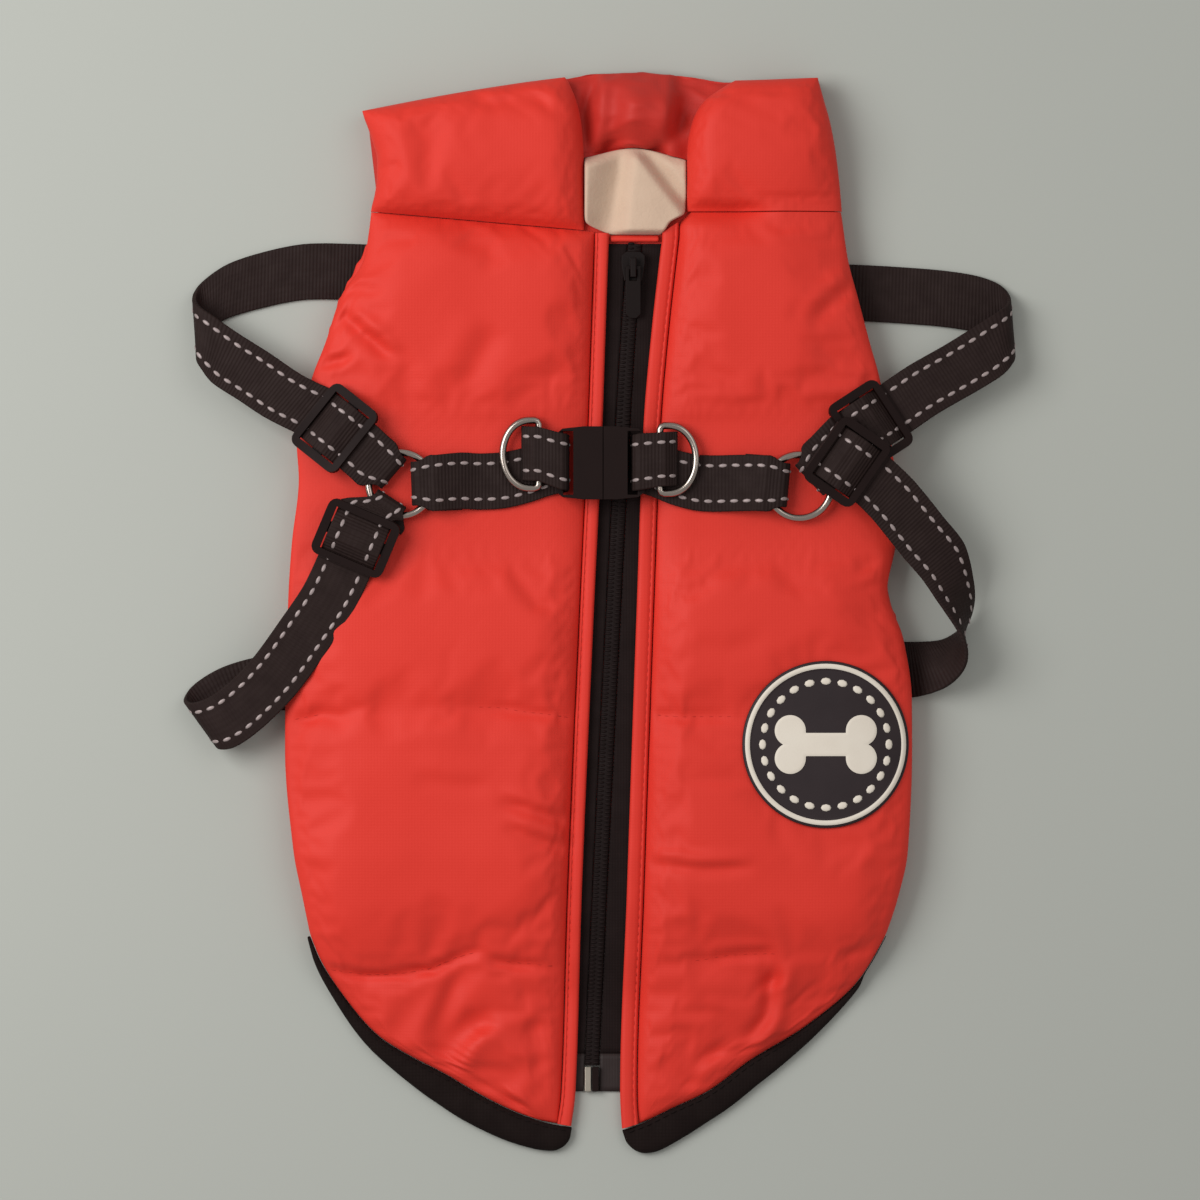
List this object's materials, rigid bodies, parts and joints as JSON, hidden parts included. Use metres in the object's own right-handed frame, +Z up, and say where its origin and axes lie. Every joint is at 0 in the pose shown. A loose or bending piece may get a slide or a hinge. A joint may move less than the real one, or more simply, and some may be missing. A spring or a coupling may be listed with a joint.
{
  "type": "dog coat",
  "caption": "Padded dog coat with a back zip, stand-up collar, black-bound hem and a webbing harness with a side-release buckle and lead rings, laid flat with the zip side up.",
  "frame": {"origin": "on the surface it rests on, under the middle of its bounding box", "axes": "+Y towards the collar along the zip, +X to the side with the badge, +Z up out of the zip side"},
  "size_m": [0.296, 0.3847, 0.0267],
  "materials": {
    "red_cloth": "smooth padded taffeta, slight sheen",
    "dark_red_cloth": "the same cloth in shade, inside the collar",
    "cream_lining": "short-pile lining, matt",
    "black_binding": "woven tape, matt",
    "black_tape": "woven zip tape, matt",
    "black_webbing": "ribbed webbing with two lines of pale reflective stitches",
    "badge_black": "soft printed badge, satin, white rim and figure",
    "black_plastic": "moulded acetal, satin",
    "steel": "plated wire"
  },
  "bodies": {
    "coat": {"belly_panel": "red_cloth", "leg_binding_left": "black_binding", "leg_binding_right": "black_binding", "belly_hem_binding": "black_binding", "zip_side_panel_left": "red_cloth", "zip_side_panel_right": "red_cloth", "placket_left": "red_cloth", "placket_right": "red_cloth", "hem_binding_left": "black_binding", "hem_binding_right": "black_binding", "collar_far_side": "dark_red_cloth", "collar_wing_left": "red_cloth", "collar_wing_right": "red_cloth", "neck_lining": "cream_lining", "neck_edge_band": "red_cloth", "zip_tape_left": "black_tape", "zip_tape_right": "black_tape", "zip_coil": "black_plastic", "zip_pin": "steel", "zip_box": "black_plastic", "zip_slider": "black_plastic", "badge": "badge_black", "junction_ring_left": "steel", "junction_ring_right": "steel", "slider_upper_left": "black_plastic", "slider_lower_left": "black_plastic", "slider_upper_right": "black_plastic", "slider_lower_right": "black_plastic", "buckle_socket": "black_plastic", "buckle_clip": "black_plastic", "chest_strap_left": "black_webbing", "chest_strap_right": "black_webbing", "loop_upper_left": "black_webbing", "loop_lower_left": "black_webbing", "loop_upper_right": "black_webbing", "loop_lower_right": "black_webbing", "under_strap_upper": "black_webbing", "under_strap_lower": "black_webbing"},
    "lead_ring_left": {"d_ring_left": "steel"},
    "lead_ring_right": {"d_ring_right": "steel"},
    "zip_tab": {"zip_pull": "black_plastic"}
  },
  "joints": [
    {"name": "lead_ring_left_hinge", "type": "hinge", "parent": "coat", "child": "lead_ring_left", "pos_m": [-0.0213, 0.0568, 0.0175], "axis": [0, 1, 0], "range_deg": [0, 120]},
    {"name": "lead_ring_right_hinge", "type": "hinge", "parent": "coat", "child": "lead_ring_right", "pos_m": [0.0216, 0.0549, 0.0175], "axis": [0, -1, 0], "range_deg": [0, 120]},
    {"name": "zip_tab_hinge", "type": "hinge", "parent": "coat", "child": "zip_tab", "pos_m": [0.01222, 0.123, 0.014], "axis": [-1, 0, 0], "range_deg": [0, 150]}
  ]
}
